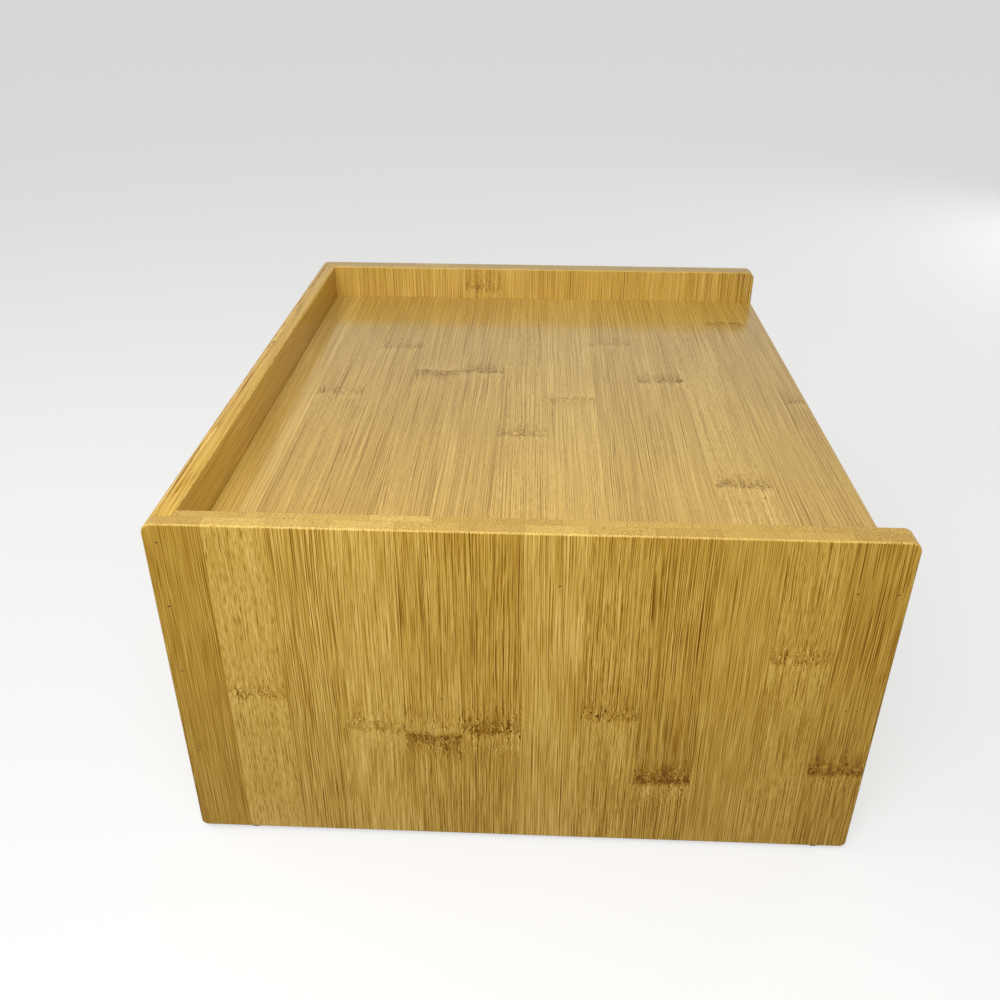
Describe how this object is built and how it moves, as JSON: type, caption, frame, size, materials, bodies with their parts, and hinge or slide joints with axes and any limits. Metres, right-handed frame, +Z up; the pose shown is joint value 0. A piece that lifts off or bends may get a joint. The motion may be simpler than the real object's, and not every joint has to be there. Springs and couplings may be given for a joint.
{
  "type": "monitor stand with drawer",
  "caption": "Bamboo monitor stand with a tray top lipped on three sides, an open bay below it and an inset drawer with a turned knob.",
  "frame": {"origin": "on the desk, under the middle of the box round the whole stand, knob included", "axes": "+X to the right as seen by a person in front of the drawer, +Y to the back, +Z up; the drawer opens towards -Y"},
  "size_m": [0.308, 0.279, 0.146],
  "materials": {
    "bamboo_board": "glued bamboo strips in two plies, sanded, clear satin lacquer",
    "bamboo_ply": "thin bamboo ply, clear satin lacquer",
    "dowel_wood": "fluted beech dowel, bare",
    "turned_bamboo": "turned bamboo, clear satin lacquer",
    "screw_steel": "bright zinc plate",
    "foot_rubber": "matt black rubber"
  },
  "bodies": {
    "case": {"left_side_panel": "bamboo_board", "right_side_panel": "bamboo_board", "back_panel": "bamboo_board", "top_board": "bamboo_board", "shelf_board": "bamboo_board", "bottom_board": "bamboo_board", "top_board_dowels": "dowel_wood", "shelf_board_dowels": "dowel_wood", "bottom_board_dowels": "dowel_wood", "left_side_pins": "screw_steel", "right_side_pins": "screw_steel", "front_left_foot": "foot_rubber", "front_right_foot": "foot_rubber", "rear_left_foot": "foot_rubber", "rear_right_foot": "foot_rubber"},
    "drawer": {"drawer_front": "bamboo_board", "drawer_left_side": "bamboo_board", "drawer_right_side": "bamboo_board", "drawer_back": "bamboo_board", "drawer_bottom": "bamboo_ply", "drawer_front_dowels": "dowel_wood", "drawer_back_dowels": "dowel_wood", "drawer_knob": "turned_bamboo", "knob_screw": "screw_steel", "knob_washer": "screw_steel"}
  },
  "joints": [
    {"name": "drawer_slide", "type": "slide", "parent": "case", "child": "drawer", "axis": [0, -1, 0], "range_m": [0, 0.19]}
  ]
}
